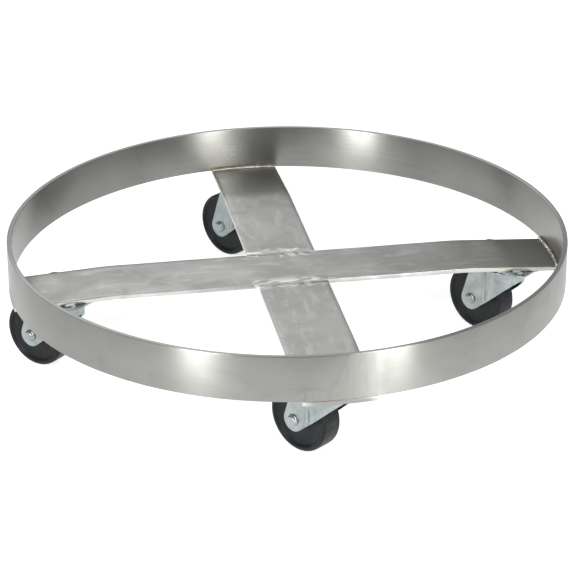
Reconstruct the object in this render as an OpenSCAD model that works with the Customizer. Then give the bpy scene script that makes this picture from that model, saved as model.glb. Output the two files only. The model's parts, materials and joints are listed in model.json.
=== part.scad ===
// Drum dolly: a rolled ring standing on the ends of a cross of flat bars, on four swivel casters.
// Origin on the floor under the centre of the ring. +Z up, +X along the unbroken bar.

/* [Ring] */
// Clear diameter inside the ring, which goes round the foot of the drum
ring_inner_d = 595; // [520:1:720]
// Thickness of the rolled band
ring_wall = 5; // [3:0.5:8]
// Height of the band
ring_h = 50; // [30:1:80]
// Direction of the butt joint in the band, in degrees from +X
ring_seam_angle = 178; // [150:1:210]

/* [Cross bars] */
// Width of each flat bar
bar_w = 76; // [60:1:90]
// Thickness of each flat bar
bar_t = 5; // [4:0.5:8]
// How far the ends of the arms fall below the middle of the cross
arm_drop = 6; // [0:0.5:7]
// Root gap of the butt joints, filled with weld
root_gap = 1.5; // [1:0.1:3]
// Leg of the fillet between the band and the bar
ring_weld_leg = 4; // [3:0.5:6]
// Leg of the fillet between a caster plate and the bar
plate_weld_leg = 3; // [2:0.5:4]

/* [Caster plates] */
// Height of a caster at its swivel axis, from the floor to the top of its plate
caster_h = 93; // [91:1:110]
// Distance of a swivel axis inside the outer face of the ring
swivel_inset = 57.5; // [56:0.5:75]
// Length of the top plate
plate_l = 84; // [78:1:94]
// Width of the top plate
plate_w = 68; // [66:1:76]
// Thickness of the top plate
plate_t = 3; // [2.5:0.5:4]
// Corner radius of the top plate
plate_corner_r = 8; // [6:0.5:10]
// Distance between the fixing slots along the plate
slot_pitch_l = 62; // [56:0.5:64]
// Distance between the fixing slots across the plate
slot_pitch_w = 50; // [48:0.5:52]
// Width of a fixing slot
slot_w = 8.5; // [6:0.5:10]
// Length of a fixing slot
slot_len = 12; // [11:0.5:14]

/* [Swivel bearing] */
// Diameter of the kingpin
kingpin_d = 10; // [8:0.5:11]
// Diameter of an upper race ball
upper_ball_d = 5; // [4:0.5:6]
// Pitch radius of the upper race
upper_pitch_r = 18; // [16:0.5:19]
// Balls in the upper race
upper_balls = 20; // [12:1:22]
// Diameter of a lower race ball
lower_ball_d = 4; // [3.5:0.1:4.2]
// Pitch radius of the lower race
lower_pitch_r = 12.5; // [11:0.5:13]
// Balls in the lower race
lower_balls = 16; // [10:1:17]

/* [Fork] */
// Thickness of the pressed sheet
sheet_t = 2.5; // [2:0.5:3]
// Distance from the swivel axis to the axle
trail = 33; // [28:1:36]
// Radius of the round end of a leg
lobe_r = 12.5; // [11:0.5:14]
// Radius of the crown disc
crown_r = 25.5; // [25:0.5:28]
// Outside radius of the skirt under the crown
skirt_r = 22.5; // [22:0.5:24]
// Lowest height of the skirt behind the swivel axis
skirt_z = 71; // [60:0.5:72]

/* [Wheel and axle] */
// Diameter of the wheel
wheel_d = 75; // [70:1:80]
// Width of the tread
wheel_w = 25; // [20:1:28]
// How far the hub stands out past the tread on each side
hub_proud = 2.9; // [1:0.1:3.5]
// Radius of the hub
hub_r = 13; // [11:0.5:15]
// Diameter of the axle bolt
axle_d = 8; // [6:0.5:9]
// Wall of the axle sleeve
sleeve_wall = 2; // [1.5:0.1:2.5]
// Thickness of a hub washer
washer_t = 1; // [0.6:0.1:1.5]
// Diameter of the round bolt head
head_d = 13.5; // [11:0.5:15]
// Thickness of the bolt head
head_t = 4; // [3:0.5:6]
// Width across the flats of the nut
hex_af = 13; // [11:0.5:15]
// Thickness of the nut
nut_t = 7; // [6:0.5:8]

/* [Clearances] */
// Radial clearance of a running fit
run_gap = 0.05; // [0.02:0.01:0.08]
// Radial clearance of a bolt in its hole
bolt_gap = 0.1; // [0.05:0.05:0.3]
// Clearance between a ball and the race that turns past it
race_gap = 0.3; // [0.2:0.05:0.4]

/* [Hidden] */
$fn = 96;
FAR = 1000;
ring_in_r = ring_inner_d / 2;
ring_out_r = ring_in_r + ring_wall;
swivel_r = ring_out_r - swivel_inset;
corner_x = plate_l / 2 - plate_corner_r;
corner_y = plate_w / 2 - plate_corner_r;
plate_reach = (corner_x + corner_y) / sqrt(2) + plate_corner_r;

// Each arm is level in the middle, slopes over the caster plate, and is level again under the band
slope_in_r = swivel_r - plate_reach - 1;
slope_out_r = sqrt(pow(ring_in_r, 2) - pow(bar_w / 2, 2));
droop = atan(arm_drop / (slope_out_r - slope_in_r));
ring_z = caster_h + bar_t - (slope_out_r - swivel_r) * tan(droop);

// Directions of the long sides of the four plates, of which the rear one lies square under its bar
PLATE_TURN = [135, 90, 135, 135];

// Trail directions of the four casters, parked as they lie after the dolly has been pushed
PARK = [125, 127, 135, 127];

boss_r = upper_pitch_r + upper_ball_d / 2 + 1.5;
boss_z = caster_h - plate_t - 2.8;
kingpin_head_r = kingpin_d / 2 + 3;
kingpin_head_t = 1.4;
kingpin_top = caster_h - (kingpin_head_r + 1) * tan(droop);
crown_t = sheet_t + 0.5;
crown_top = boss_z - 2.7;
crown_z = crown_top - crown_t;
groove_depth = 0.8;
upper_ball_r = upper_ball_d / 2;
upper_ball_z = crown_top - groove_depth + upper_ball_r;
lower_ball_r = lower_ball_d / 2;
lower_ball_z = crown_z - lower_ball_r + 0.6;
cup_floor_t = 1.5;
cup_in_r = lower_pitch_r + lower_ball_r + 1;
cup_out_r = cup_in_r + 1.2;
cup_z = lower_ball_z - lower_ball_r;
cup_rim_z = crown_z - 1;
kingpin_foot_t = 2.5;
kingpin_foot_z = cup_z - cup_floor_t;

axle_z = wheel_d / 2;
sleeve_r = axle_d / 2 + bolt_gap + sleeve_wall;
hub_half = wheel_w / 2 + hub_proud;
leg_in = hub_half + run_gap + washer_t;
leg_out = leg_in + sheet_t;
crown_front = 32;
leg_knee = [-4, 52];
hex_r = hex_af / sqrt(3);
tread_round = 3;
rim_r = wheel_d / 2 - 5;
web_half = wheel_w / 2 - 3;

function polar(r, a) = [r * cos(a), r * sin(a)];
function tangent(p, c, r, side) =
    let (d = norm(p - c), a = atan2(p.y - c.y, p.x - c.x) + side * acos(r / d))
    c + polar(r, a);
function arc(c, r, a0, a1, n) = [for (i = [0 : n]) c + polar(r, a0 + (a1 - a0) * i / n)];

// Places a piece on arm k, turned with the arm, its origin on the floor under the swivel axis
module on_arm(k) {
    rotate([0, 0, 90 * k]) translate([swivel_r, 0, 0]) children();
}

// Origin in the middle of the top face of the plate on arm k, turned and tipped with the plate
module on_plate(k) {
    on_arm(k) translate([0, 0, caster_h]) rotate([0, droop, 0])
    rotate([0, 0, PLATE_TURN[k] - 90 * k]) children();
}

// On arm k, turned the way the caster is parked, so that +X is the trail direction
module parked(k) {
    rotate([0, 0, 90 * k]) translate([swivel_r, 0, 0]) rotate([0, 0, PARK[k] - 90 * k]) children();
}

// Lies a cylinder along Y through the axle
module along_axle(r, y0, y1, sides = $fn) {
    translate([trail, y0, axle_z]) rotate([-90, 0, 0]) cylinder(r = r, h = y1 - y0, $fn = sides);
}

// ---- Ring ----

seam_half_angle = asin(root_gap / 2 / ring_out_r);

module ring_band() {
    color([0.66, 0.66, 0.65])
    rotate([0, 0, ring_seam_angle + seam_half_angle])
    rotate_extrude(angle = 360 - 2 * seam_half_angle, $fn = 360)
    translate([ring_in_r, ring_z]) square([ring_wall, ring_h]);
}

module ring_seam_weld() {
    color([0.72, 0.71, 0.68])
    rotate([0, 0, ring_seam_angle - seam_half_angle])
    rotate_extrude(angle = 2 * seam_half_angle, $fn = 360)
    translate([ring_in_r, ring_z]) square([ring_wall, ring_h]);
}

// ---- Cross ----

// Side outline of one arm from x0 outwards
module arm_outline(x0) {
    top = ring_z + arm_drop;
    line = [[x0, top], [slope_in_r, top], [slope_out_r, ring_z], [ring_out_r + 1, ring_z]];
    polygon(concat(line, [for (i = [3 : -1 : 0]) line[i] - [0, bar_t]]));
}

module arm_solid(x0) {
    intersection() {
        translate([0, bar_w / 2, 0]) rotate([90, 0, 0]) linear_extrude(bar_w) arm_outline(x0);
        cylinder(r = ring_out_r, h = FAR, $fn = 360);
    }
}

module long_cross_bar() {
    color([0.74, 0.73, 0.70]) {
        arm_solid(0);
        rotate([0, 0, 180]) arm_solid(0);
    }
}

module half_bar(k) {
    color([0.74, 0.73, 0.70]) rotate([0, 0, 90 * k]) arm_solid(bar_w / 2 + root_gap);
}

module centre_weld(k) {
    color([0.70, 0.69, 0.66]) rotate([0, 0, 90 * k])
    translate([bar_w / 2, -bar_w / 2, ring_z + arm_drop - bar_t]) cube([root_gap, bar_w, bar_t]);
}

// Fillet in the corner between the inside of the band and the top of the bar
module ring_weld(k) {
    half = asin((bar_w / 2 - 1) / ring_in_r);
    color([0.78, 0.77, 0.74]) rotate([0, 0, 90 * k]) difference() {
        rotate([0, 0, -half]) rotate_extrude(angle = 2 * half, $fn = 360)
        polygon([
            [ring_in_r, ring_z], [ring_in_r, ring_z + ring_weld_leg], [ring_in_r - ring_weld_leg, ring_z]
        ]);
        arm_solid(bar_w);
    }
}

// ---- Caster: what is fixed under the bar ----

module plate_outline() {
    square([plate_l, 2 * corner_y], center = true);
    square([2 * corner_x, plate_w], center = true);
    for (x = [-corner_x, corner_x], y = [-corner_y, corner_y]) translate([x, y]) circle(plate_corner_r);
}

module slot_outline() {
    e = (slot_len - slot_w) / 2;
    square([2 * e, slot_w], center = true);
    for (x = [-e, e]) translate([x, 0]) circle(d = slot_w);
}

// The plate is tipped with the arm, its bearing boss is level
module top_plate(k) {
    color([0.72, 0.76, 0.77]) difference() {
        union() {
            on_plate(k) translate([0, 0, -plate_t]) linear_extrude(plate_t) difference() {
                plate_outline();
                for (x = [-1, 1], y = [-1, 1])
                    translate([x * slot_pitch_l, y * slot_pitch_w] / 2) slot_outline();
            }
            intersection() {
                on_arm(k) translate([0, 0, boss_z]) cylinder(r = boss_r, h = FAR);
                on_plate(k) translate([0, 0, -FAR]) cylinder(r = FAR, h = FAR);
            }
        }
        on_arm(k) {
            cylinder(d = kingpin_d + 2 * run_gap, h = FAR);
            translate([0, 0, kingpin_top - kingpin_head_t]) cylinder(r = kingpin_head_r + run_gap, h = FAR);
            rotate_extrude() translate([upper_pitch_r, upper_ball_z])
            circle(upper_ball_r + race_gap, $fn = 32);
        }
    }
}

// Four fillets under the bar, one along the stretch of each plate edge that the bar covers
module plate_welds(k) {
    square_on = PLATE_TURN[k] == 90 * k;
    color([0.62, 0.60, 0.56]) on_plate(k) for (i = [0 : 3]) {
        reach = (i % 2 == 0 ? plate_l : plate_w) / 2;
        straight = i % 2 == 0 ? corner_y : corner_x;
        under_bar = (bar_w / 2 - 1) * sqrt(2) - reach - plate_weld_leg;
        covered = square_on ? straight : under_bar;
        lo = (i + k) % 2 == 0 ? covered : straight;
        rotate([0, 0, 90 * i]) translate([reach, straight + covered - lo, 0]) rotate([90, 0, 0])
        linear_extrude(straight + covered) polygon([[0, 0], [plate_weld_leg, 0], [0, -plate_weld_leg]]);
    }
}

module kingpin(k) {
    color([0.70, 0.73, 0.75]) on_arm(k) {
        translate([0, 0, kingpin_foot_z]) cylinder(d = kingpin_d, h = kingpin_top - kingpin_foot_z);
        translate([0, 0, kingpin_top - kingpin_head_t]) cylinder(r = kingpin_head_r, h = kingpin_head_t);
        translate([0, 0, kingpin_foot_z - kingpin_foot_t]) cylinder(r = kingpin_head_r, h = kingpin_foot_t);
    }
}

module race_cup(k) {
    bore_r = kingpin_d / 2 + run_gap;
    color([0.68, 0.72, 0.74]) on_arm(k) rotate_extrude() polygon([
        [bore_r, kingpin_foot_z], [cup_out_r, kingpin_foot_z], [cup_out_r, cup_rim_z],
        [cup_in_r, cup_rim_z], [cup_in_r, cup_z], [bore_r, cup_z]
    ]);
}

// A ring of balls about the swivel axis
module balls(count, pitch_r, d, z) {
    for (i = [0 : count - 1])
        rotate([0, 0, 360 * i / count]) translate([pitch_r, 0, z]) sphere(d = d, $fn = 32);
}

module lower_ball_ring(k) {
    color([0.55, 0.56, 0.58]) on_arm(k) balls(lower_balls, lower_pitch_r, lower_ball_d, lower_ball_z);
}

// ---- Caster: what swivels ----

module upper_ball_ring(k) {
    color([0.55, 0.56, 0.58]) parked(k) balls(upper_balls, upper_pitch_r, upper_ball_d, upper_ball_z);
}

// Plan of the fork: round behind the swivel axis, straight along the legs
module fork_plan(r, half) {
    circle(r);
    translate([0, -half]) square([trail + lobe_r + 5, 2 * half]);
}

// Side outline of the fork, X forward and Y up
module fork_side() {
    c = [trail, axle_z];
    front = [crown_front, crown_z + 1];
    tail = [-skirt_r - 1, skirt_z];
    polygon([
        front, tangent(front, c, lobe_r, -1), c, tangent(leg_knee, c, lobe_r, 1), leg_knee, tail,
        [-skirt_r - 1, crown_z + 1]
    ]);
    translate(c) circle(lobe_r);
}

module fork(k) {
    color([0.74, 0.79, 0.80]) parked(k) difference() {
        union() {
            intersection() {
                linear_extrude(crown_z + 1) difference() {
                    fork_plan(skirt_r, leg_out);
                    fork_plan(skirt_r - sheet_t, leg_in);
                }
                translate([0, FAR / 2, 0]) rotate([90, 0, 0]) linear_extrude(FAR) fork_side();
            }
            translate([0, 0, crown_z]) cylinder(r = crown_r, h = crown_t);
            translate([0, 0, crown_z]) linear_extrude(crown_t) intersection() {
                fork_plan(skirt_r, leg_out);
                translate([-FAR, -FAR]) square([FAR + crown_front, 2 * FAR]);
            }
        }
        cylinder(d = kingpin_d + 2 * run_gap, h = FAR);
        translate([0, 0, crown_top - groove_depth]) difference() {
            cylinder(r = upper_pitch_r + upper_ball_r, h = FAR);
            cylinder(r = upper_pitch_r - upper_ball_r, h = FAR);
        }
        rotate_extrude() translate([lower_pitch_r, lower_ball_z]) circle(lower_ball_r + race_gap, $fn = 32);
        along_axle(axle_d / 2 + bolt_gap, -FAR / 2, FAR / 2);
    }
}

module axle_sleeve(k) {
    color([0.68, 0.70, 0.72]) parked(k) difference() {
        along_axle(sleeve_r, -leg_in, leg_in);
        along_axle(axle_d / 2 + bolt_gap, -FAR / 2, FAR / 2);
    }
}

module hub_washers(k) {
    color([0.66, 0.68, 0.70]) parked(k) difference() {
        for (y = [-leg_in, leg_in - washer_t]) along_axle(sleeve_r + 4, y, y + washer_t);
        along_axle(sleeve_r + run_gap, -FAR / 2, FAR / 2);
    }
}

module axle_bolt(k) {
    color([0.72, 0.76, 0.78]) parked(k) {
        along_axle(axle_d / 2, -leg_out - nut_t - 1, leg_out);
        along_axle(head_d / 2, leg_out, leg_out + head_t);
    }
}

module axle_nut(k) {
    color([0.70, 0.74, 0.76]) parked(k) difference() {
        along_axle(hex_r, -leg_out - nut_t, -leg_out, 6);
        along_axle(axle_d / 2 + run_gap, -FAR / 2, FAR / 2);
    }
}

// ---- Caster: what rolls ----

module wheel(k) {
    r = wheel_d / 2;
    h = wheel_w / 2;
    half = concat(
        [[sleeve_r + run_gap, hub_half], [hub_r, hub_half], [hub_r + 1, web_half], [rim_r - 2, web_half],
         [rim_r, h - 1], [rim_r + 1, h]],
        arc([r - tread_round, h - tread_round], tread_round, 90, 0, 6)
    );
    n = len(half);
    color([0.13, 0.13, 0.14]) parked(k) translate([trail, 0, axle_z]) rotate([90, 0, 0]) rotate_extrude()
    polygon(concat(half, [for (i = [n - 1 : -1 : 0]) [half[i].x, -half[i].y]]));
}

ring_band();
ring_seam_weld();
long_cross_bar();
half_bar(1);  // rear_half_bar
half_bar(3);  // front_half_bar
centre_weld(1);  // rear_centre_weld
centre_weld(3);  // front_centre_weld

SIDES = ["right", "rear", "left", "front"];
for (k = [0 : 3]) {
    ring_weld(k);
    top_plate(k);
    plate_welds(k);
    kingpin(k);
    race_cup(k);
    upper_ball_ring(k);
    lower_ball_ring(k);
    fork(k);
    wheel(k);
    axle_sleeve(k);
    hub_washers(k);
    axle_bolt(k);
    axle_nut(k);
}
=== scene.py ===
import json
import math
import bmesh
import bpy
from mathutils import Matrix, Vector


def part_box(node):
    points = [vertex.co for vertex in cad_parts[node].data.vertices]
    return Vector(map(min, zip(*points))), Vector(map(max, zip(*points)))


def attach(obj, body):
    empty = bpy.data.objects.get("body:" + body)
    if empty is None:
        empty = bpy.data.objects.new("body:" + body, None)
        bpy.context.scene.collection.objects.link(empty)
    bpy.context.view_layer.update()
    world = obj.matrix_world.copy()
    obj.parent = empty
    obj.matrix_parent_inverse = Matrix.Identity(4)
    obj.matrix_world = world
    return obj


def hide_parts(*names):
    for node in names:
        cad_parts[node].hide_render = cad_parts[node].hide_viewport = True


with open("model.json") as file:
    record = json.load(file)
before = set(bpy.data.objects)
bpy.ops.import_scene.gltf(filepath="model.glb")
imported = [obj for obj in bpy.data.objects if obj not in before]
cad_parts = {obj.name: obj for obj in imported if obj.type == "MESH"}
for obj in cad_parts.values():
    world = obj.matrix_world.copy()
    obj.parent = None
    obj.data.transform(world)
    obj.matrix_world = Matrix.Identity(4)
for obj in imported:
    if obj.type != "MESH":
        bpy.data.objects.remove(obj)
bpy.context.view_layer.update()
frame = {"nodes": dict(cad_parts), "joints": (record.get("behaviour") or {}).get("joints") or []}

MM = 0.001
SIDES = ["right", "rear", "left", "front"]


# ---------------------------------------------------------------- sizes, in millimetres

def span(node):
    low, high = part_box(node)
    return Vector(low) / MM, Vector(high) / MM


band_low, band_high = span("ring_band")
RING_R = band_high.x
RING_LOW = band_low.z
RING_H = band_high.z - band_low.z
WALL = 5.0
RING_IN = RING_R - WALL
BAR_W = span("long_cross_bar")[1].y * 2
BAR_T = 5.0
ARM_TOP = span("long_cross_bar")[1].z
ROOT_GAP = 1.5
SEAM_AT = math.radians(178)

joints = {j["name"]: j for j in frame["joints"]}
SWIVEL_R = Vector(joints["right_swivel"]["pos_m"]).x / MM
PLATE_L, PLATE_W, PLATE_T, PLATE_ROUND = 84.0, 68.0, 3.0, 8.0
PLATE_TURN = [math.radians(a) for a in (135, 90, 135, 135)]
CASTER_H = 93.0
SLOPE_IN = SWIVEL_R - ((PLATE_L + PLATE_W) / 2 - 2 * PLATE_ROUND) / math.sqrt(2) - PLATE_ROUND - 1
SLOPE_OUT = math.sqrt(RING_IN ** 2 - (BAR_W / 2) ** 2)
DROOP = math.atan((ARM_TOP - RING_LOW) / (SLOPE_OUT - SLOPE_IN))
BOSS_Z = CASTER_H - PLATE_T - 2.8
CROWN_TOP = BOSS_Z - 2.7
CROWN_Z = CROWN_TOP - 3
TRAIL, AXLE_Z = 33.0, 37.5
LEG_OUT, SHEET = 18.95, 2.5
SKIRT_R = 22.5


# ---------------------------------------------------------------- shader maths

class Value:
    """One socket of a finish. Sums on it add Math nodes."""

    def __init__(self, finish, socket):
        self.finish, self.socket = finish, socket

    def _sum(self, operation, *others):
        return self.finish.node("ShaderNodeMath", {"operation": operation}, dict(enumerate(others)))

    def __add__(self, other): return self._sum("ADD", self, other)
    def __radd__(self, other): return self._sum("ADD", other, self)
    def __sub__(self, other): return self._sum("SUBTRACT", self, other)
    def __rsub__(self, other): return self._sum("SUBTRACT", other, self)
    def __mul__(self, other): return self._sum("MULTIPLY", self, other)
    def __rmul__(self, other): return self._sum("MULTIPLY", other, self)
    def __truediv__(self, other): return self._sum("DIVIDE", self, other)
    def __pow__(self, other): return self._sum("POWER", self, other)
    def __abs__(self): return self._sum("ABSOLUTE", self)

    def root(self): return self._sum("SQRT", self)
    def atleast(self, other): return self._sum("MAXIMUM", self, other)
    def atmost(self, other): return self._sum("MINIMUM", self, other)

    def between(self, low, high, a=0.0, b=1.0):
        """Smooth step from a at low to b at high."""
        return self.finish.node(
            "ShaderNodeMapRange", {"interpolation_type": "SMOOTHSTEP"},
            {"Value": self, "From Min": low, "From Max": high, "To Min": a, "To Max": b})


class Finish:
    """A material under construction."""

    def __init__(self, name):
        self.material = bpy.data.materials.new(name)
        self.material.use_nodes = True
        self.tree = self.material.node_tree
        self.tree.nodes.clear()
        self.place = self.node("ShaderNodeTexCoord", out="Object")
        self.x, self.y, self.z = (
            self.node("ShaderNodeSeparateXYZ", {}, {0: self.place}, out=i) for i in range(3))

    def node(self, kind, settings=None, links=None, out=0):
        made = self.tree.nodes.new(kind)
        for key, value in (settings or {}).items():
            if key == "stops":
                ramp = made.color_ramp
                while len(ramp.elements) < len(value):
                    ramp.elements.new(0.5)
                for element, (at, colour) in zip(ramp.elements, value):
                    element.position, element.color = at, (*colour, 1)
            else:
                setattr(made, key, value)
        for key, value in (links or {}).items():
            if isinstance(value, Value):
                self.tree.links.new(value.socket, made.inputs[key])
            else:
                made.inputs[key].default_value = value
        return Value(self, made.outputs[out])

    def vector(self, x, y, z):
        return self.node("ShaderNodeCombineXYZ", {}, {0: x, 1: y, 2: z})

    def noise(self, scale, detail=2.0, rough=0.5, at=None, bend=0.0):
        return self.node("ShaderNodeTexNoise", {}, {
            "Vector": at or self.place, "Scale": scale, "Detail": detail,
            "Roughness": rough, "Distortion": bend})

    def mix(self, amount, a, b, blend="MIX"):
        links = {0: amount}
        for key, colour in ((6, a), (7, b)):
            links[key] = colour if isinstance(colour, Value) else (*colour, 1)
        return self.node("ShaderNodeMix", {"data_type": "RGBA", "blend_type": blend}, links, out=2)

    def near(self, point, reach):
        """1 at a point, falling to 0 at the reach, both in metres."""
        gap = self.node("ShaderNodeVectorMath", {"operation": "DISTANCE"},
                        {0: self.place, 1: point}, out="Value")
        return gap.between(0, reach, 1, 0)

    def bump(self, height, depth, strength=1.0):
        return self.node("ShaderNodeBump", {}, {"Height": height, "Distance": depth, "Strength": strength})

    def done(self, colour, rough, metal=1.0, normal=None, **constants):
        shader = self.tree.nodes.new("ShaderNodeBsdfPrincipled")
        wanted = {"Base Color": colour, "Roughness": rough, "Metallic": metal, "Normal": normal}
        wanted.update({k.replace("_", " "): v for k, v in constants.items()})
        for key, value in wanted.items():
            if isinstance(value, Value):
                self.tree.links.new(value.socket, shader.inputs[key])
            elif isinstance(value, tuple):
                shader.inputs[key].default_value = (*value, 1)
            elif value is not None:
                shader.inputs[key].default_value = value
        output = self.tree.nodes.new("ShaderNodeOutputMaterial")
        self.tree.links.new(shader.outputs[0], output.inputs[0])
        return self.material


# ---------------------------------------------------------------- finishes

def heat_tint(f, colour, amount):
    """Straw and brown oxide beside a weld, broken up by the brushing."""
    ragged = f.noise(75, 3, 0.6).between(0.3, 0.65, 0.15, 1)
    straw = f.mix(amount.between(0.1, 0.5) * ragged, colour, (0.29, 0.25, 0.175))
    return f.mix(amount.between(0.55, 1.0) * ragged * 0.8, straw, (0.12, 0.10, 0.075))


def brushed_band():
    """Rolled band: drawn out lengthwise, tinted above the welds, ground bright low on the outer face."""
    f = Finish("brushed_band")
    fine = f.noise(1, 3, 0.65, f.vector(f.x * 16, f.y * 16, f.z * 1500))
    coarse = f.noise(1, 2, 0.6, f.vector(f.x * 6, f.y * 6, f.z * 330))
    cloud = f.noise(9, 3, 0.55, bend=0.6)
    smear = f.noise(34, 4, 0.6, bend=1.2)
    ragged = f.noise(48, 4, 0.65, bend=0.8) - 0.5
    tone = f.mix(cloud.between(0.35, 0.7), (0.250, 0.249, 0.234), (0.292, 0.290, 0.274))
    tone = f.mix(smear.between(0.5, 0.8) * 0.35, tone, (0.22, 0.219, 0.207))
    tone = f.mix(coarse.between(0.3, 0.75) * 0.2, tone, (0.33, 0.327, 0.312))

    radius = (f.x * f.x + f.y * f.y).root()
    aside = abs(f.x).atmost(abs(f.y))
    above = f.z - RING_LOW * MM
    by_arm = (aside + 0.016 * ragged).between(0.036, 0.046, 1, 0)
    inside = radius.between((RING_IN + 1) * MM, (RING_IN + 2) * MM, 1, 0)
    tint = by_arm * inside * (above + 0.005 * ragged).between(0.002, 0.009, 1, 0)
    tone = heat_tint(f, tone, tint)
    climb = 0.045 * f.x.between(-0.008, 0.014) * f.y.between(-0.2, -0.1, 1, 0)
    low = (above - climb + 0.014 * ragged).between(0.009, 0.014, 1, 0)
    ground = (aside + 0.03 * ragged).between(0.038, 0.05, 1, 0) * low
    ground = ground * radius.between((RING_R - 1) * MM, RING_R * MM)
    streak = f.noise(1, 3, 0.6, f.vector(f.x * 210, f.y * 210, f.z * 40))
    tone = f.mix(ground * streak.between(0.25, 0.6, 0.45, 1), tone, (0.36, 0.355, 0.335))
    tone = f.mix(ground * streak.between(0.6, 0.78) * 0.35, tone, (0.25, 0.24, 0.22))
    # Painted highlight: the top half-millimetre of the band, its rounded upper edge, is lightened.
    tone = f.mix(above.between((RING_H - 0.5) * MM, (RING_H - 0.1) * MM) * 0.8, tone, (0.55, 0.545, 0.525))
    dots = f.node("ShaderNodeTexVoronoi", {}, {"Vector": f.place, "Scale": 520}, out="Distance")
    knurl = f.near((-0.012, RING_IN * MM, (RING_LOW + 21) * MM), 0.026) * dots.between(0.25, 0.5)
    tone = f.mix(knurl * 0.5, tone, (0.52, 0.515, 0.50))
    rough = 0.25 + 0.07 * cloud + 0.08 * smear + 0.1 * ground
    grain = fine * 0.6 + coarse * 0.25 + streak * ground * 0.5 + knurl * 0.4
    return f.done(tone, rough, 1.0, f.bump(grain, 0.00012, 0.3), Anisotropic=0.93, Anisotropic_Rotation=0.25)


def polished_bar(name, along_x):
    """Flat bar: lengthwise grain under hand-polished clouds, with bright swirls on a ground seam."""
    f = Finish(name)
    along, across = (f.x, f.y) if along_x else (f.y, f.x)
    fine = f.noise(1, 3, 0.65, f.vector(along * 45, across * 1300, f.z * 60))
    wipe = f.noise(1, 3, 0.6, f.vector(along * 26, across * 105, f.z * 40), bend=0.7)
    cloud = f.noise(13, 3, 0.55, bend=0.5)
    smudge = f.noise(24, 4, 0.62, bend=0.8)
    swirl = f.noise(1, 3, 0.55, f.vector(f.x * 26, f.y * 62, f.z * 20), bend=3.0)
    tone = f.mix(cloud.between(0.35, 0.68), (0.47, 0.467, 0.445), (0.61, 0.606, 0.58))
    tone = f.mix(wipe.between(0.48, 0.72) * 0.55, tone, (0.74, 0.735, 0.705))
    tone = f.mix(smudge.between(0.52, 0.70) * 0.5, tone, (0.38, 0.376, 0.355))
    out = abs(f.x).atleast(abs(f.y))
    # Painted shade: the outer reach of the rear and right arms is darkened to stand in for the dimmer
    # reflection their drooping ends catch; lighter scratch marks are laid over the same reach.
    painted_shade_and_scratch_reach = f.y.atleast(f.x - 0.035) + 0.02 * (smudge - 0.5)
    tone = f.mix(painted_shade_and_scratch_reach.between(0.188, 0.216) * cloud.between(0.25, 0.6, 0.55, 1) * 0.85,
                 tone, (0.28, 0.277, 0.26))
    tone = f.mix(painted_shade_and_scratch_reach.between(0.2, 0.23) * wipe.between(0.55, 0.7) * 0.22, tone, (0.55, 0.546, 0.52))
    off_seam = abs(abs(f.y) - (BAR_W + ROOT_GAP) / 2 * MM)
    seam = off_seam.between(0.005, 0.017, 1, 0) * abs(f.x).between(0.038, 0.05, 1, 0)
    tone = f.mix(seam * swirl.between(0.49, 0.57), tone, (0.93, 0.925, 0.90))
    tone = f.mix(seam * swirl.between(0.46, 0.38) * 0.5, tone, (0.46, 0.455, 0.43))
    ragged = 0.012 * f.noise(70, 3, 0.6)
    tone = heat_tint(f, tone, (out + ragged).between(0.292, 0.3025) * out.between(0.2975, 0.2995, 0.75, 0))
    # Painted shade: the bar's end, from 300 mm out where it sits beneath the band's lower edge, is darkened.
    tone = f.mix(out.between(0.3000, 0.3015) * cloud.between(0.3, 0.6, 0.6, 1), tone, (0.27, 0.266, 0.25))
    streak = abs(f.x - (SWIVEL_R - 14) * MM).between(0.001, 0.009, 1, 0) * f.y.between(-0.034, -0.006, 1, 0)
    tone = f.mix(streak * f.noise(90, 2, 0.6).between(0.3, 0.6, 0.4, 1) * 0.6, tone, (0.52, 0.485, 0.36))
    rough = 0.26 + 0.1 * cloud + 0.1 * smudge + 0.05 * fine - 0.06 * seam
    height = fine * 0.45 + wipe * 0.2 + swirl * seam * 0.6
    return f.done(tone, rough, 1.0, f.bump(height, 0.0002, 0.4))


def weld_metal(name, ground):
    """Laid bead, dull and scaly, or one that was ground flush and came up brighter."""
    f = Finish(name)
    dull, bright = (0.36, 0.35, 0.325), (0.54, 0.53, 0.50)
    if ground:
        dull, bright = (0.62, 0.61, 0.57), (0.86, 0.855, 0.83)
    scale = f.noise(420, 4, 0.6, bend=1.0)
    patch = f.noise(90, 3, 0.6)
    tone = f.mix(patch.between(0.4, 0.7), dull, bright)
    tone = f.mix(patch.between(0.42, 0.3) * (0.2 if ground else 0.8), tone, (0.24, 0.19, 0.14))
    tone = f.mix(scale.between(0.55, 0.8) * (0.2 if ground else 0.4), tone, (0.40, 0.36, 0.30))
    return f.done(tone, (0.32 if ground else 0.2) + 0.2 * patch, 1.0,
                  f.bump(scale, 0.0003, 0.3 if ground else 0.55))


def bright_zinc():
    """Zinc plate with faint spangle, rubbed dull in places."""
    f = Finish("bright_zinc")
    cloud = f.noise(38, 3, 0.55, bend=0.8)
    cell = f.node("ShaderNodeTexVoronoi", {}, {"Vector": f.place, "Scale": 210}, out="Color")
    spangle = f.node("ShaderNodeSeparateXYZ", {}, {0: cell})
    speck = f.noise(900, 2, 0.6)
    drawn = f.noise(1, 2, 0.5, f.vector(f.x * 320, f.y * 320, f.z * 30))
    tone = f.mix(cloud.between(0.3, 0.7), (0.225, 0.262, 0.262), (0.325, 0.355, 0.347))
    tone = f.mix(spangle * 0.18, tone, (0.44, 0.475, 0.47))
    tone = f.mix(drawn.between(0.55, 0.75) * 0.3, tone, (0.54, 0.57, 0.56))
    tone = f.mix(speck.between(0.62, 0.8) * 0.35, tone, (0.28, 0.30, 0.295))
    rough = 0.17 + 0.12 * cloud + 0.08 * speck
    return f.done(tone, rough, 1.0, f.bump(speck * 0.5 + cloud * 0.3 + drawn * 0.2, 0.00012, 0.3))


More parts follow.
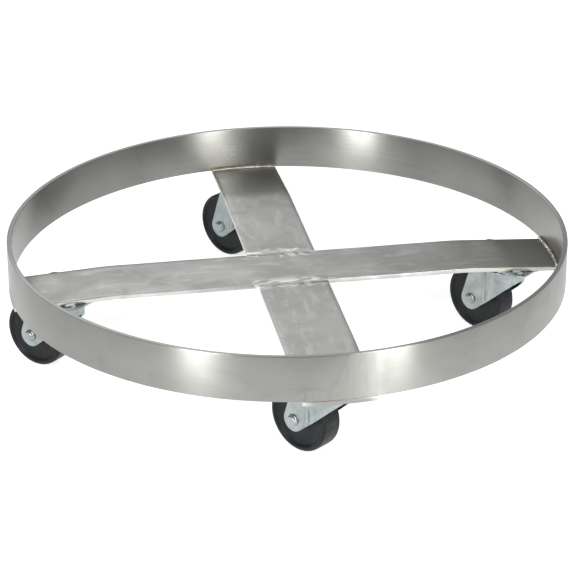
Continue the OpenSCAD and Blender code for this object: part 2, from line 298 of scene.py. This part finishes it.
def turned_steel():
    f = Finish("turned_steel")
    rings = f.noise(1, 2, 0.5, f.vector(f.x * 60, f.y * 60, f.z * 2200))
    stain = f.noise(60, 3, 0.6)
    tone = f.mix(stain.between(0.45, 0.75) * 0.6, (0.62, 0.63, 0.64), (0.40, 0.39, 0.37))
    return f.done(tone, 0.25 + 0.2 * stain, 1.0, f.bump(rings, 0.0001, 0.3))


def polished_ball():
    f = Finish("polished_ball")
    film = f.noise(300, 2, 0.5)
    return f.done(f.mix(film, (0.70, 0.70, 0.71), (0.80, 0.80, 0.81)), 0.08 + 0.14 * film, 1.0)


def black_wheel(name, post, axle):
    """Moulded black wheel: turning marks about its own axle, scuffed and dusty on the tread."""
    f = Finish(name)
    along = Vector((-(axle - post).y, (axle - post).x, 0)).normalized()
    off = f.node("ShaderNodeVectorMath", {"operation": "SUBTRACT"}, {0: f.place, 1: tuple(axle)})
    side = f.node("ShaderNodeVectorMath", {"operation": "DOT_PRODUCT"},
                  {0: off, 1: tuple(along)}, out="Value")
    reach = f.node("ShaderNodeVectorMath", {"operation": "LENGTH"}, {0: off}, out="Value")
    radius = (reach * reach - side * side).atleast(0).root()
    marks = f.noise(1, 2, 0.5, f.vector(radius * 900, side * 500, 0))
    grain = f.noise(1400, 2, 0.6)
    smudge = f.noise(55, 4, 0.6, bend=1.0)
    tread = radius.between(0.0355, 0.0370)
    scuff = f.noise(1, 3, 0.6, f.vector(f.x * 140, f.y * 140, f.z * 140))
    tone = f.mix(smudge.between(0.35, 0.75), (0.005, 0.006, 0.007), (0.010, 0.012, 0.013))
    tone = f.mix(marks.between(0.55, 0.8) * 0.3, tone, (0.028, 0.030, 0.032))
    tone = f.mix(tread * scuff.between(0.45, 0.75) * 0.5, tone, (0.045, 0.045, 0.044))
    rough = 0.36 + 0.14 * smudge + 0.12 * tread * scuff
    height = marks * 0.5 + grain * 0.35 + smudge * 0.15
    return f.done(tone, rough, 0.0, f.bump(height, 0.00025, 0.35),
                  Coat_Weight=0.05, Coat_Roughness=0.25, Specular_IOR_Level=0.17)


BAND, ZINC, BALL, TURNED = brushed_band(), bright_zinc(), polished_ball(), turned_steel()
BAR_ALONG_X, BAR_ALONG_Y = polished_bar("polished_long_bar", True), polished_bar("polished_half_bar", False)
WELD, GROUND_WELD = weld_metal("weld_bead", False), weld_metal("ground_weld", True)


# ---------------------------------------------------------------- making pieces

def hand_over(piece, body, nodes):
    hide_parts(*nodes)
    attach(piece, body)
    return piece


def as_object(name, mesh, material, crease=35):
    if not mesh.materials:
        mesh.materials.append(material)
    mesh.shade_smooth()
    mesh.set_sharp_from_angle(angle=math.radians(crease))
    piece = bpy.data.objects.new(name, mesh)
    bpy.context.scene.collection.objects.link(piece)
    return piece


def flatten(piece):
    """Takes the piece's modifiers into a plain mesh."""
    deps = bpy.context.evaluated_depsgraph_get()
    deps.update()
    mesh = bpy.data.meshes.new_from_object(piece.evaluated_get(deps))
    old = piece.data
    piece.modifiers.clear()
    piece.data = mesh
    bpy.data.meshes.remove(old)
    mesh.name = piece.name
    return piece


def soften(piece, width, angle=40, segments=2):
    bevel = piece.modifiers.new("edge", "BEVEL")
    bevel.width, bevel.segments = width * MM, segments
    bevel.limit_method, bevel.angle_limit = "ANGLE", math.radians(angle)
    bevel.harden_normals = False
    flatten(piece)
    piece.data.shade_smooth()
    piece.data.set_sharp_from_angle(angle=math.radians(50))
    return piece


def finish_mesh(bm, name, place=Matrix.Identity(4), outward=True):
    """Closes a millimetre mesh into metres at its place."""
    bmesh.ops.remove_doubles(bm, verts=bm.verts, dist=1e-4)
    if outward:
        bmesh.ops.recalc_face_normals(bm, faces=bm.faces)
    mesh = bpy.data.meshes.new(name)
    bm.to_mesh(mesh)
    bm.free()
    mesh.transform(Matrix.Scale(MM, 4) @ place)
    return mesh


def turn(bm, profile, steps=96, about=Matrix.Identity(4), closed=False):
    """Turns a profile of (radius, height) about Z into the mesh."""
    loops = []
    for i in range(steps):
        a = 2 * math.pi * i / steps
        loops.append([bm.verts.new(about @ Vector((r * math.cos(a), r * math.sin(a), z)))
                      for r, z in profile])
    last = len(profile) if closed else len(profile) - 1
    for i in range(steps):
        here, there = loops[i], loops[(i + 1) % steps]
        for j in range(last):
            k = (j + 1) % len(profile)
            corners = [here[j], there[j], there[k], here[k]]
            bm.faces.new(corners)


def rounded(points, radius, steps=4):
    """Rounds the corners of a closed outline."""
    out = []
    n = len(points)
    for i in range(n):
        p, a, b = Vector(points[i]), Vector(points[i - 1]), Vector(points[(i + 1) % n])
        r = radius[i] if isinstance(radius, (list, tuple)) else radius
        if r <= 0:
            out.append(tuple(p))
            continue
        u, v = (a - p).normalized(), (b - p).normalized()
        half = u.angle(v) / 2
        cut = r / math.tan(half)
        centre = p + (u + v).normalized() * (r / math.sin(half))
        start, end = p + u * cut - centre, p + v * cut - centre
        sweep = start.angle_signed(end)
        for s in range(steps + 1):
            q = start.copy()
            q.rotate(Matrix.Rotation(-sweep * s / steps, 2))
            out.append(tuple(centre + q))
    return out


# ---------------------------------------------------------------- geometry node trees

class Tree:
    """A geometry node tree with named inputs."""

    def __init__(self, name, **inputs):
        self.tree = bpy.data.node_groups.new(name, "GeometryNodeTree")
        face = self.tree.interface
        face.new_socket("Geometry", in_out="INPUT", socket_type="NodeSocketGeometry")
        self.keys = {}
        for key, (kind, value) in inputs.items():
            socket = face.new_socket(key.replace("_", " "), in_out="INPUT", socket_type="NodeSocket" + kind)
            if value is not None:
                socket.default_value = value
            self.keys[key] = socket.identifier
        face.new_socket("Geometry", in_out="OUTPUT", socket_type="NodeSocketGeometry")
        self.start = self.tree.nodes.new("NodeGroupInput")

    def given(self, key):
        return self.start.outputs[key.replace("_", " ")]

    def add(self, kind, settings=None, links=None, out=0):
        made = self.tree.nodes.new(kind)
        for key, value in (settings or {}).items():
            setattr(made, key, value)
        for key, value in (links or {}).items():
            if isinstance(value, bpy.types.NodeSocket):
                self.tree.links.new(value, made.inputs[key])
            else:
                made.inputs[key].default_value = value
        return made.outputs[out]

    def close(self, geometry):
        whole = self.add("GeometryNodeRealizeInstances", {}, {0: geometry})
        smooth = self.add("GeometryNodeSetShadeSmooth", {}, {0: whole})
        coated = self.add("GeometryNodeSetMaterial", {}, {0: smooth, "Material": self.given("Material")})
        end = self.tree.nodes.new("NodeGroupOutput")
        self.tree.links.new(coated, end.inputs[0])
        return self

    def make(self, name, mesh, **values):
        piece = bpy.data.objects.new(name, mesh)
        bpy.context.scene.collection.objects.link(piece)
        modifier = piece.modifiers.new(name, "NODES")
        modifier.node_group = self.tree
        for key, value in values.items():
            modifier[self.keys[key]] = value
        return flatten(piece)


def rolled_band_tree():
    t = Tree("rolled_band", Radius=("Float", 0.3), Wall=("Float", 0.005), Height=("Float", 0.05),
             Foot=("Float", 0.0), Edge=("Float", 0.0007), Start=("Float", 0.0), Sweep=("Float", 6.0),
             Material=("Material", None))
    path = t.add("GeometryNodeCurveArc", {"mode": "RADIUS"}, {
        "Resolution": 361, "Radius": t.given("Radius"), "Start Angle": t.given("Start"),
        "Sweep Angle": t.given("Sweep")})
    section = t.add("GeometryNodeCurvePrimitiveQuadrilateral", {"mode": "RECTANGLE"}, {
        "Width": t.given("Wall"), "Height": t.given("Height")})
    section = t.add("GeometryNodeFilletCurve", {"mode": "POLY"},
                    {"Curve": section, "Count": 3, "Radius": t.given("Edge")})
    upright = t.add("GeometryNodeSetCurveNormal", {"mode": "Z_UP"}, {"Curve": path})
    band = t.add("GeometryNodeCurveToMesh", {},
                 {"Curve": upright, "Profile Curve": section, "Fill Caps": True})
    lift = t.add("ShaderNodeCombineXYZ", {}, {2: t.given("Foot")})
    return t.close(t.add("GeometryNodeTransform", {}, {"Geometry": band, "Translation": lift}))


def weld_bead_tree():
    """Overlapping flattened drops along a path, as a stitched bead is laid."""
    t = Tree("weld_bead", Pitch=("Float", 0.0012), Size=("Vector", (0.0009, 0.0026, 0.0022)),
             Jitter=("Float", 0.15), Seed=("Int", 3), Material=("Material", None))
    path = t.add("GeometryNodeMeshToCurve", {}, {0: t.given("Geometry")})
    points = t.add("GeometryNodeResampleCurve", {"mode": "LENGTH"},
                   {"Curve": path, "Length": t.given("Pitch")})
    along = t.add("GeometryNodeInputTangent")
    aim = t.add("FunctionNodeAlignRotationToVector", {"axis": "X"}, {"Vector": along})
    low = t.add("ShaderNodeMath", {"operation": "SUBTRACT"}, {0: 1.0, 1: t.given("Jitter")})
    high = t.add("ShaderNodeMath", {"operation": "ADD"}, {0: 1.0, 1: t.given("Jitter")})
    swell = t.add("FunctionNodeRandomValue", {"data_type": "FLOAT"},
                  {2: low, 3: high, "Seed": t.given("Seed")}, out=1)
    size = t.add("ShaderNodeVectorMath", {"operation": "SCALE"}, {0: t.given("Size"), "Scale": swell})
    drop = t.add("GeometryNodeMeshUVSphere", {}, {"Segments": 12, "Rings": 8, "Radius": 1.0})
    return t.close(t.add("GeometryNodeInstanceOnPoints", {}, {
        "Points": points, "Instance": drop, "Rotation": aim, "Scale": size}))


def ball_ring_tree():
    t = Tree("ball_ring", Count=("Int", 20), Pitch_Radius=("Float", 0.018), Ball_Radius=("Float", 0.0025),
             Centre=("Vector", (0, 0, 0)), Material=("Material", None))
    ring = t.add("GeometryNodeMeshCircle", {},
                 {"Vertices": t.given("Count"), "Radius": t.given("Pitch_Radius")})
    ball = t.add("GeometryNodeMeshUVSphere", {},
                 {"Segments": 20, "Rings": 12, "Radius": t.given("Ball_Radius")})
    balls = t.add("GeometryNodeInstanceOnPoints", {}, {"Points": ring, "Instance": ball})
    return t.close(t.add("GeometryNodeTransform", {}, {"Geometry": balls, "Translation": t.given("Centre")}))


ROLLED_BAND, WELD_BEAD, BALL_RING = rolled_band_tree(), weld_bead_tree(), ball_ring_tree()


def path_mesh(name, paths, place=Matrix.Identity(4)):
    mesh = bpy.data.meshes.new(name)
    points, edges = [], []
    for path in paths:
        edges += [(len(points) + i, len(points) + i + 1) for i in range(len(path) - 1)]
        points += [MM * (place @ Vector(p)) for p in path]
    mesh.from_pydata(points, edges, [])
    return mesh


# ---------------------------------------------------------------- frame: band, bars, welds

def make_band():
    gap = math.asin(ROOT_GAP / 2 / RING_R)
    piece = ROLLED_BAND.make(
        "rolled_band", bpy.data.meshes.new("rolled_band"), Radius=(RING_R - WALL / 2) * MM, Wall=WALL * MM,
        Height=RING_H * MM, Foot=(RING_LOW + RING_H / 2) * MM, Edge=0.8 * MM, Start=SEAM_AT + gap,
        Sweep=2 * math.pi - 2 * gap, Material=BAND)
    bm = bmesh.new()
    bm.from_mesh(piece.data)
    bmesh.ops.recalc_face_normals(bm, faces=bm.faces)
    bm.to_mesh(piece.data)
    bm.free()
    piece.data.set_sharp_from_angle(angle=math.radians(40))
    hand_over(piece, "frame", ["ring_band"])


def arm_height(x):
    """Top of an arm above the floor, its two bends eased over a few millimetres."""
    total, ease = 0.0, (-6, -3, 0, 3, 6)
    for d in ease:
        t = (SLOPE_OUT - (abs(x) + d)) / (SLOPE_OUT - SLOPE_IN)
        total += min(1, max(0, t))
    return RING_LOW + (ARM_TOP - RING_LOW) * total / len(ease)


def flat_bar(name, x0, material, turn_by, nodes):
    """A flat bar along X from x0 to the band, its end trimmed to the band's outer face."""
    half = BAR_W / 2
    rows = [-half + BAR_W * j / 16 for j in range(17)]
    inner = [x for x in range(-280, 281, 8) if x > x0 + 4] if x0 < 0 else [x for x in range(48, 281, 8)]
    bm = bmesh.new()
    top, under = [], []
    for y in rows:
        end = math.sqrt(RING_R ** 2 - y ** 2)
        start = -end if x0 < 0 else x0
        xs = [start] + ([start * 0.97] if x0 < 0 else []) + inner + [end * 0.965, end]
        xs = sorted(x for x in xs)
        top.append([bm.verts.new((x, y, max(arm_height(x), RING_LOW) - (0.02 if abs(x) > RING_R - 8 else 0)))
                    for x in xs])
        under.append([bm.verts.new((x, y, arm_height(x) - BAR_T)) for x in xs])
    n = len(top[0])
    for j in range(len(rows) - 1):
        for i in range(n - 1):
            bm.faces.new((top[j][i], top[j][i + 1], top[j + 1][i + 1], top[j + 1][i]))
            bm.faces.new((under[j][i], under[j + 1][i], under[j + 1][i + 1], under[j][i + 1]))
        bm.faces.new((top[j][0], top[j + 1][0], under[j + 1][0], under[j][0]))
        bm.faces.new((top[j][-1], under[j][-1], under[j + 1][-1], top[j + 1][-1]))
    for i in range(n - 1):
        bm.faces.new((top[0][i], under[0][i], under[0][i + 1], top[0][i + 1]))
        bm.faces.new((top[-1][i], top[-1][i + 1], under[-1][i + 1], under[-1][i]))
    mesh = finish_mesh(bm, name, Matrix.Rotation(turn_by, 4, "Z"))
    hand_over(soften(as_object(name, mesh, material), 0.7, 45), "frame", nodes)


def ground_seam(name, place, length, width, depth, slot_node, sag=None):
    """A weld ground nearly flush: a low crowned strip with a few shallow waves along it."""
    bm = bmesh.new()
    count = 40
    rows = []
    for i in range(count + 1):
        y = -length / 2 + length * i / count
        wave = 0.05 * math.sin(i * 1.9) + 0.04 * math.sin(i * 0.7 + 1)
        spread = width / 2 * (1 + 0.12 * math.sin(i * 1.1))
        ridge = [(-spread, -0.1), (-spread * 0.5, 0.1 + wave), (0, 0.16 + wave),
                 (spread * 0.5, 0.1 - wave), (spread, -0.1),
                 (spread * 0.6, -depth), (-spread * 0.6, -depth)]
        rows.append([bm.verts.new((x, y, z)) for x, z in ridge])
    for a, b in zip(rows, rows[1:]):
        for j in range(len(a)):
            k = (j + 1) % len(a)
            bm.faces.new((a[j], b[j], b[k], a[k]))
    bm.faces.new(rows[0])
    bm.faces.new(reversed(rows[-1]))
    piece = as_object(name, finish_mesh(bm, name, place), GROUND_WELD)
    hand_over(piece, "frame", [slot_node])


def make_frame():
    make_band()
    flat_bar("long_bar", -RING_R, BAR_ALONG_X, 0, ["long_cross_bar"])
    flat_bar("rear_bar", BAR_W / 2 + ROOT_GAP, BAR_ALONG_Y, math.pi / 2, ["rear_half_bar"])
    flat_bar("front_bar", BAR_W / 2 + ROOT_GAP, BAR_ALONG_Y, -math.pi / 2, ["front_half_bar"])
    for side, turn_by in (("rear", math.pi / 2), ("front", -math.pi / 2)):
        place = Matrix.Rotation(turn_by, 4, "Z") @ Matrix.Translation((BAR_W / 2 + ROOT_GAP / 2, 0, ARM_TOP))
        ground_seam(side + "_centre_seam", place, BAR_W - 0.6, 4.2, BAR_T, side + "_centre_weld")
    place = Matrix.Rotation(SEAM_AT, 4, "Z") @ Matrix.Translation((RING_R, 0, RING_LOW + RING_H / 2))
    stand = Matrix(((0, 0, 1, 0), (1, 0, 0, 0), (0, 1, 0, 0), (0, 0, 0, 1)))
    ground_seam("band_seam", place @ stand, RING_H - 0.4, 3.6, WALL + 0.1, "ring_seam_weld")
    reach = math.asin((BAR_W / 2 - 1.5) / RING_IN)
    for k, side in enumerate(SIDES):
        arc = []
        for i in range(41):
            a = math.pi / 2 * k + reach * (2 * i / 40 - 1)
            arc.append(((RING_IN - 1.1) * math.cos(a), (RING_IN - 1.1) * math.sin(a),
                        RING_LOW + 1.0))
        bead = WELD_BEAD.make(side + "_ring_bead", path_mesh("arc", [arc]), Pitch=1.5 * MM,
                              Size=(1.4 * MM, 2.7 * MM, 2.6 * MM), Jitter=0.14, Seed=5 + k, Material=WELD)
        hand_over(bead, "frame", [side + "_ring_weld"])


# ---------------------------------------------------------------- casters

def plate_sheet(place):
    """Top plate with rounded edges and four slots, made as a filled flat curve."""
    def ring(points):
        spline = curve.splines.new("POLY")
        spline.points.add(len(points) - 1)
        for point, (x, y) in zip(spline.points, points):
            point.co = (x, y, 0, 1)
        spline.use_cyclic_u = True

    edge = 0.5
    curve = bpy.data.curves.new("plate", "CURVE")
    curve.dimensions, curve.fill_mode = "2D", "BOTH"
    curve.extrude, curve.bevel_depth, curve.bevel_resolution = PLATE_T / 2 - edge, edge, 2
    l, w = PLATE_L / 2 - edge, PLATE_W / 2 - edge
    ring(rounded([(l, w), (-l, w), (-l, -w), (l, -w)], PLATE_ROUND - edge, 8))
    a, b = 6 + edge, 4.25 + edge
    for x in (-31, 31):
        for y in (-25, 25):
            ring(rounded([(x + a, y + b), (x - a, y + b), (x - a, y - b), (x + a, y - b)], b - 0.01, 8))
    holder = bpy.data.objects.new("plate", curve)
    bpy.context.scene.collection.objects.link(holder)
    deps = bpy.context.evaluated_depsgraph_get()
    mesh = bpy.data.meshes.new_from_object(holder.evaluated_get(deps))
    bpy.data.objects.remove(holder)
    mesh.transform(place @ Matrix.Translation((0, 0, -PLATE_T / 2)))
    return mesh


def top_plate(side, k, arm, plate):
    bm = bmesh.new()
    bm.from_mesh(plate_sheet(plate))
    z = BOSS_Z
    boss = [(5.2, z + 0.2), (14.6, z), (15.2, z + 0.4), (16.4, z + 1.5), (18, z + 1.9),
            (19.6, z + 1.5), (20.8, z + 0.4), (21.4, z), (22.0, z + 0.3), (22.2, z + 0.9),
            (22.2, z + 3.2), (23.4, z + 4.0), (23.4, z + 4.3), (5.2, z + 4.3)]
    turn(bm, boss, 96, arm, closed=True)
    piece = as_object(side + "_plate", finish_mesh(bm, side + "_plate"), ZINC)
    hand_over(piece, "frame", [side + "_top_plate"])


def plate_beads(side, k, plate):
    """Fillet beads under the bar, along the stretches of the plate's edges that it covers."""
    lines = []
    for i in range(4):
        reach, straight = (PLATE_L / 2, PLATE_W / 2 - 8) if i % 2 == 0 else (PLATE_W / 2, PLATE_L / 2 - 8)
        square_on = abs(PLATE_TURN[k] - math.pi / 2 * k) < 0.01
        covered = straight if square_on else (BAR_W / 2 - 1) * math.sqrt(2) - reach - 3
        low, high = (-covered, straight) if (i + k) % 2 == 0 else (-straight, covered)
        spin = Matrix.Rotation(math.pi / 2 * i, 4, "Z")
        lines.append([spin @ Vector((reach + 0.9, low + 1.5 + (high - low - 3) * s / 12, -1.0))
                      for s in range(13)])
    bead = WELD_BEAD.make(side + "_plate_beads", path_mesh("edges", lines, plate), Pitch=1.5 * MM,
                          Size=(1.4 * MM, 1.9 * MM, 1.6 * MM), Jitter=0.18, Seed=20 + k, Material=WELD)
    hand_over(bead, "frame", [side + "_plate_welds"])


AXLE = Vector((TRAIL, AXLE_Z))
LOBE = 12.5
KNEE, TAIL, BROW = Vector((-4, 52)), Vector((-23.5, 71)), Vector((32, CROWN_Z + 1))


def touch(point, hand):
    """Where a line from the point touches the round end of a leg."""
    away = point - AXLE
    a = math.atan2(away.y, away.x) + hand * math.acos(LOBE / away.length)
    return AXLE + LOBE * Vector((math.cos(a), math.sin(a)))


CHIN, CHEEK = touch(BROW, -1), touch(KNEE, 1)


def leg_foot(x):
    """Lower edge of the sheet at a distance ahead of the swivel axis."""
    if x >= CHEEK.x:
        return AXLE.y - math.sqrt(max(0, LOBE ** 2 - (x - AXLE.x) ** 2))
    a, b = (KNEE, CHEEK) if x > KNEE.x else (TAIL, KNEE)
    return a.y + (b.y - a.y) * (x - a.x) / (b.x - a.x)


def leg_brow(x):
    if x >= CHIN.x:
        return AXLE.y + math.sqrt(max(0, LOBE ** 2 - (x - AXLE.x) ** 2))
    if x <= BROW.x:
        return CROWN_Z
    return min(CROWN_Z, CHIN.y + (BROW.y - CHIN.y) * (CHIN.x - x) / (CHIN.x - BROW.x))


def fork_sheet():
    """The pressed fork as one sheet: legs, pressed ridge, round skirt and crown."""
    line = []
    for x, lift in ((45.5, 0), (45.42, 0), (45.2, 0), (44.93, 0), (44.2, 0), (43, 0), (41.5, 0),
                    (39, 0), (36.5, 0), (34, 0), (32, 0), (29, 0), (26, 0), (23, 0), (20, 0),
                    (18, 0), (16.9, 0.05), (16.2, 0.35), (15.4, 0.7),
                    (14.6, 0.7), (13.8, 0.35), (13.2, 0.0), (12.7, 0.1)):
        line.append((Vector((x, LEG_OUT + lift)), Vector((0, 1)), False))
    a0 = math.acos(12.0 / SKIRT_R)
    for i in range(49):
        a = a0 + (2 * math.pi - 2 * a0) * i / 48
        out = Vector((math.cos(a), math.sin(a)))
        line.append((out * SKIRT_R, out, True))
    line += [(Vector((p.x, -p.y)), Vector((n.x, -n.y)), s) for p, n, s in reversed(line[:23])]
    bm = bmesh.new()
    rows, grid = 9, []
    for p, n, skirt in line:
        low = sum(leg_foot(p.x + d) for d in (-2, 0, 2)) / 3 if p.x < CHEEK.x - 2 else leg_foot(p.x)
        high = leg_brow(p.x)
        column = []
        for j in range(rows + 1):
            z = low + (high - low) * j / rows
            flare = 1.9 * max(0, (z - CROWN_Z + 8) / 8) ** 2 if skirt else 0
            q = p + n * flare
            column.append(bm.verts.new((q.x, q.y, z)))
        if p.x <= BROW.x + 0.01:
            bend = 3.0
            for j in range(1, 5):
                t = math.pi / 8 * j
                inset = bend * (1 - math.cos(t)) * (1 if not skirt else 1.1)
                q = p + n * ((1.9 if skirt else 0) - inset)
                column.append(bm.verts.new((q.x, q.y, CROWN_Z + bend * math.sin(t))))
        grid.append(column)
    for here, there in zip(grid, grid[1:]):
        for j in range(min(len(here), len(there)) - 1):
            bm.faces.new((here[j], there[j], there[j + 1], here[j + 1]))
    bm.faces.new([column[-1] for column in grid if len(column) > rows + 1])
    bmesh.ops.remove_doubles(bm, verts=bm.verts, dist=1e-3)
    bm.normal_update()
    crown = max(bm.faces, key=lambda face: face.calc_center_median().z)
    bmesh.ops.recalc_face_normals(bm, faces=bm.faces)
    if crown.normal.z < 0:
        bmesh.ops.reverse_faces(bm, faces=bm.faces)
    return bm


def fork(side, body, parked):
    name = side + "_pressed_fork"
    piece = as_object(name, finish_mesh(fork_sheet(), name, outward=False), ZINC)
    shell = piece.modifiers.new("sheet", "SOLIDIFY")
    shell.thickness, shell.offset, shell.use_even_offset = SHEET * MM, -1, True
    flatten(piece)
    soften(piece, 0.35, 50)
    bm = bmesh.new()
    bm.from_mesh(piece.data)
    z = CROWN_TOP
    rim = rounded([(20.8, z - 2.6), (25.5, z - 2.6), (25.5, z), (20.8, z)], [0.4, 1.1, 1.1, 0.6], 4)
    turn(bm, rim, 96, Matrix.Scale(MM, 4), closed=True)
    bm.to_mesh(piece.data)
    bm.free()
    piece.data.transform(Matrix.Scale(MM, 4) @ parked @ Matrix.Scale(1 / MM, 4))
    piece.data.shade_smooth()
    piece.data.set_sharp_from_angle(angle=math.radians(50))
    hand_over(piece, body, [side + "_fork"])


def wheel(side, body, axle_place, material):
    r, h = 37.5, 12.5
    half = [(8.25, 15.4), (10.6, 15.4), (11.4, 15.0), (12.2, 13.2), (13.2, 11.2), (15.2, 10.0),
            (18.5, 9.6), (24.5, 9.7), (29.0, 10.2), (30.4, 10.7), (31.2, 11.4), (31.5, 11.9),
            (32.0, 11.7), (32.4, 12.1), (33.2, 12.45), (34.4, h)]
    for i in range(1, 9):
        a = math.pi / 2 * i / 8
        half.append((34.3 + 3.0 * math.sin(a), 9.5 + 3.0 * math.cos(a)))
    half += [(r - 0.08, 6.5), (r, 3.2), (r, 0.0)]
    profile = half + [(x, -y) for x, y in reversed(half[:-1])]
    bm = bmesh.new()
    turn(bm, profile, 128, axle_place, closed=True)
    piece = as_object(side + "_moulded_wheel", finish_mesh(bm, side + "_moulded_wheel"), material, 30)
    hand_over(piece, body, [side + "_wheel"])


def axle_hardware(side, body, axle_place):
    """Round-headed bolt on one side, chamfered hexagon nut with a bolt end showing on the other."""
    y = LEG_OUT
    bolt = [(0, y + 3.5), (1.6, y + 3.55), (2.6, y + 3.9), (4.4, y + 3.95), (5.3, y + 3.6),
            (5.75, y + 2.9), (5.85, y + 1.6),
            (6.1, y + 1.3), (6.6, y + 1.1), (6.75, y + 0.7), (6.75, y), (4.0, y), (4.0, -y - 6.2)]
    for i in range(3):
        bolt += [(4.0, -y - 6.4 - 0.5 * i), (3.7, -y - 6.6 - 0.5 * i)]
    bolt += [(3.4, -y - 8.0), (0, -y - 8.0)]
    bm = bmesh.new()
    turn(bm, bolt, 48, axle_place)
    head = as_object(side + "_bolt", finish_mesh(bm, side + "_bolt"), ZINC, 40)
    hand_over(head, body, [side + "_axle_bolt"])
    point = 13 / math.sqrt(3)
    nut = [(4.7, -y), (6.6, -y), (point, -y - 0.6), (point, -y - 6.2), (6.5, -y - 7), (4.7, -y - 7)]
    bm = bmesh.new()
    turn(bm, nut, 6, axle_place, closed=True)
    piece = soften(as_object(side + "_nut", finish_mesh(bm, side + "_nut"), ZINC), 0.3, 20)
    hand_over(piece, body, [side + "_axle_nut"])


def restyle(node, material):
    target = frame["nodes"][node]
    for slot in target.material_slots:
        slot.material = material


def make_caster(k, side):
    post = Vector(joints[side + "_swivel"]["pos_m"])
    axle = Vector(joints[side + "_roll"]["pos_m"])
    park = math.atan2(axle.y - post.y, axle.x - post.x)
    foot = Matrix.Translation((post.x / MM, post.y / MM, 0))
    arm = foot @ Matrix.Rotation(math.pi / 2 * k, 4, "Z")
    tip = Matrix.Translation((0, 0, CASTER_H)) @ Matrix.Rotation(DROOP, 4, "Y")
    plate = arm @ tip @ Matrix.Rotation(PLATE_TURN[k] - math.pi / 2 * k, 4, "Z")
    parked = foot @ Matrix.Rotation(park, 4, "Z")
    axle_place = parked @ Matrix.Translation((TRAIL, 0, AXLE_Z)) @ Matrix.Rotation(-math.pi / 2, 4, "X")
    head, roller = side + "_swivel_head", side + "_roller"
    top_plate(side, k, arm, plate)
    plate_beads(side, k, plate)
    fork(side, head, parked)
    wheel(side, roller, axle_place, black_wheel(side + "_black_wheel", post, axle))
    axle_hardware(side, head, axle_place)
    for which, body, count, pitch, ball, z in (
            ("upper", head, 20, 18.0, 2.5, CROWN_TOP - 0.8 + 2.5),
            ("lower", "frame", 16, 12.5, 2.0, span(side + "_lower_balls")[0].z + 2)):
        balls = BALL_RING.make(
            f"{side}_{which}_race_balls", bpy.data.meshes.new("balls"), Count=count, Pitch_Radius=pitch * MM,
            Ball_Radius=ball * MM, Centre=(post.x, post.y, z * MM), Material=BALL)
        hand_over(balls, body, [f"{side}_{which}_balls"])
    for node, material in (("kingpin", ZINC), ("race_cup", ZINC),
                           ("axle_sleeve", TURNED), ("hub_washers", TURNED)):
        restyle(f"{side}_{node}", material)


make_frame()
for k, side in enumerate(SIDES):
    make_caster(k, side)


# ---------------------------------------------------------------- studio

def aim(thing, at):
    away = thing.location - Vector(at)
    thing.rotation_euler = away.to_track_quat("Z", "Y").to_euler()


def direction(azimuth, elevation):
    a, e = math.radians(azimuth), math.radians(elevation)
    return Vector((math.sin(a) * math.cos(e), -math.cos(a) * math.cos(e), math.sin(e)))


def softbox(name, azimuth, elevation, distance, width, height, power, shade=(1, 1, 1)):
    data = bpy.data.lights.new(name, "AREA")
    data.shape, data.size, data.size_y = "RECTANGLE", width, height
    data.energy, data.color = power, shade
    light = bpy.data.objects.new(name, data)
    bpy.context.scene.collection.objects.link(light)
    light.location = Vector((0, 0, 0.1)) + direction(azimuth, elevation) * distance
    aim(light, (0, 0, 0.1))


def studio():
    scene = bpy.context.scene
    scene.view_settings.view_transform = "Standard"
    bm = bmesh.new()
    bmesh.ops.create_grid(bm, x_segments=1, y_segments=1, size=12)
    mesh = bpy.data.meshes.new("floor")
    bm.to_mesh(mesh)
    bm.free()
    floor = bpy.data.objects.new("floor", mesh)
    scene.collection.objects.link(floor)
    f = Finish("pale_floor")
    mesh.materials.append(f.done((0.86, 0.86, 0.86), 0.9, 0.0,
                                 Emission_Color=(1, 1, 1), Emission_Strength=0.62))

    world = bpy.data.worlds.new("studio")
    scene.world = world
    world.use_nodes = True
    world.node_tree.nodes["Background"].inputs[0].default_value = (0.9, 0.92, 0.95, 1)
    world.node_tree.nodes["Background"].inputs[1].default_value = 0.4

    softbox("left_strip", VIEW_AZ - 32.8, 22, 2.83, 0.58, 2.0, 62)
    softbox("right_strip", VIEW_AZ + 36.7, 25, 1.13, 0.2, 1.0, 8.2)
    softbox("back_panel", VIEW_AZ + 202, 41, 3.0, 2.3, 1.6, 10.5)


VIEW_AZ, VIEW_EL, VIEW_FAR = -10.1, 25.13, 2.828
SENSOR_W, LENS, SHIFT = 36.0, 162.0, (0.0014, -0.0276)

camera = bpy.data.objects.new("camera", bpy.data.cameras.new("camera"))
bpy.context.scene.collection.objects.link(camera)
camera.data.sensor_width, camera.data.lens = SENSOR_W, LENS
camera.data.shift_x, camera.data.shift_y = SHIFT
camera.data.clip_end = 50
target = Vector((0, 0, RING_LOW * MM))
camera.location = target + direction(VIEW_AZ, VIEW_EL) * VIEW_FAR
aim(camera, target)
bpy.context.scene.camera = camera
studio()
